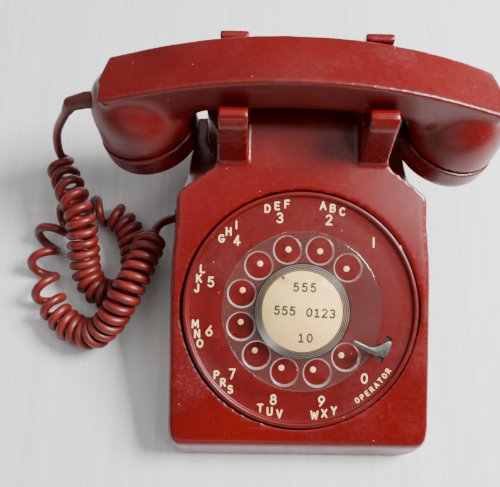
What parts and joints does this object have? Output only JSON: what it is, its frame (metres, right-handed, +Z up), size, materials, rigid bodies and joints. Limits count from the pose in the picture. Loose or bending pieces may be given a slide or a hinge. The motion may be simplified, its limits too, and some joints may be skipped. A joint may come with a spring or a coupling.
{
  "type": "rotary telephone",
  "caption": "Rotary desk telephone: sloping moulded housing, clear finger wheel with return spring and pulse train, bell, hookswitch cradle, lift-off handset and coiled cord.",
  "frame": {"origin": "on the table under the middle of the housing and, within 2 mm, of the whole set without its cord; level with the soles of the feet", "axes": "+X to the user's right, -Y towards the user, +Z up"},
  "size_m": [0.3003, 0.231, 0.1275],
  "materials": {
    "red_plastic": "glossy, scuffed",
    "red_plastic_dial": "glossy",
    "clear_plastic": "clear",
    "card": "matte",
    "steel": "brushed",
    "plated_steel": "zinc plated",
    "brass": "satin",
    "black_plastic": "moulded",
    "rubber_foot": "matte",
    "cord_rubber": "matte",
    "copper_coil": "varnished",
    "painted_base": "satin"
  },
  "bodies": {
    "base": {"base_feet": "rubber_foot", "base_plate": "painted_base", "cord_coil_a": "cord_rubber", "cord_coil_b": "cord_rubber", "cord_coil_c": "cord_rubber", "cord_coil_d": "cord_rubber", "cord_coil_e": "cord_rubber", "cord_lead": "cord_rubber", "cord_tail": "cord_rubber", "dial_bracket_left": "plated_steel", "dial_bracket_right": "plated_steel", "dial_frame": "plated_steel", "dial_rear_plate": "plated_steel", "dial_screws": "steel", "finger_stop": "steel", "gong_left": "brass", "gong_post_left": "steel", "governor_cup": "brass", "handset_cord_grommet": "cord_rubber", "hookswitch_bracket": "plated_steel", "hookswitch_contacts": "black_plastic", "housing": "red_plastic", "housing_screws": "steel", "line_cord_socket": "black_plastic", "main_spring": "steel", "network_block": "black_plastic", "network_terminals": "brass", "number_ring": "red_plastic_dial", "pulse_contacts": "black_plastic", "ringer_coils": "copper_coil", "ringer_frame": "plated_steel", "volume_bracket": "plated_steel"},
    "dial": {"dial_shaft": "steel", "finger_wheel": "clear_plastic", "number_card": "card", "card_window": "clear_plastic", "wheel_screw": "steel", "main_gear": "brass"},
    "pulse": {"pulse_pinion": "brass", "pulse_cam": "brass"},
    "governor": {"governor_pinion": "brass", "governor_weights": "brass"},
    "clapper": {"clapper": "steel", "ringer_armature": "steel"},
    "volume": {"volume_wheel": "black_plastic"},
    "high_gong": {"gong_right": "brass", "gong_post_right": "steel"},
    "plunger_left": {"plunger_left": "black_plastic"},
    "plunger_right": {"plunger_right": "black_plastic"},
    "lever": {"hookswitch_lever": "steel"},
    "handset": {"handset_shell": "red_plastic", "transmitter_cap": "red_plastic", "receiver_cap": "red_plastic", "transmitter_unit": "steel", "receiver_unit": "steel", "transmitter_cup": "black_plastic", "handset_cord_boot": "cord_rubber"}
  },
  "joints": [
    {"name": "dial_turn", "type": "hinge", "parent": "base", "child": "dial", "pos_m": [0, -0.0345, 0.0514], "axis": [0, -0.309, 0.9511], "range_deg": [-342, 0], "stiffness_Nm_per_rad": 0.012, "springref_deg": 91.67},
    {"name": "pulse_spin", "type": "hinge", "parent": "base", "child": "pulse", "pos_m": [-0.02706, -0.03923, 0.03409], "axis": [0, -0.309, 0.9511], "range_deg": [0, 1715]},
    {"name": "governor_spin", "type": "hinge", "parent": "base", "child": "governor", "pos_m": [0.02145, -0.04698, 0.03157], "axis": [0, -0.309, 0.9511], "range_deg": [0, 2060]},
    {"name": "clapper_swing", "type": "hinge", "parent": "base", "child": "clapper", "pos_m": [0, 0.04, 0.033], "axis": [0, 0, 1], "range_deg": [-3, 3], "stiffness_Nm_per_rad": 0.02},
    {"name": "volume_turn", "type": "hinge", "parent": "base", "child": "volume", "pos_m": [0.052, 0.036, 0.013], "axis": [1, 0, 0], "range_deg": [0, 104]},
    {"name": "gong_shift", "type": "slide", "parent": "base", "child": "high_gong", "axis": [1, 0, 0], "range_m": [0, 0.0018]},
    {"name": "handset_lift", "type": "slide", "parent": "base", "child": "handset", "axis": [0, 0, 1], "range_m": [0, 0.12]},
    {"name": "plunger_left_travel", "type": "slide", "parent": "base", "child": "plunger_left", "axis": [0, 0, 1], "range_m": [0, 0.006]},
    {"name": "plunger_right_travel", "type": "slide", "parent": "base", "child": "plunger_right", "axis": [0, 0, 1], "range_m": [0, 0.006]},
    {"name": "lever_rock", "type": "hinge", "parent": "base", "child": "lever", "pos_m": [0, 0.066, 0.07], "axis": [1, 0, 0], "range_deg": [0, 17]}
  ],
  "couplings": [
    {"joint": "pulse_spin", "follows": "dial_turn", "ratio": -5},
    {"joint": "governor_spin", "follows": "dial_turn", "ratio": -6},
    {"joint": "volume_turn", "follows": "gong_shift", "rad_per_m": 1000},
    {"joint": "plunger_left_travel", "follows": "handset_lift", "ratio": 0.05},
    {"joint": "plunger_right_travel", "follows": "handset_lift", "ratio": 0.05},
    {"joint": "lever_rock", "follows": "handset_lift", "rad_per_m": 2.4}
  ]
}
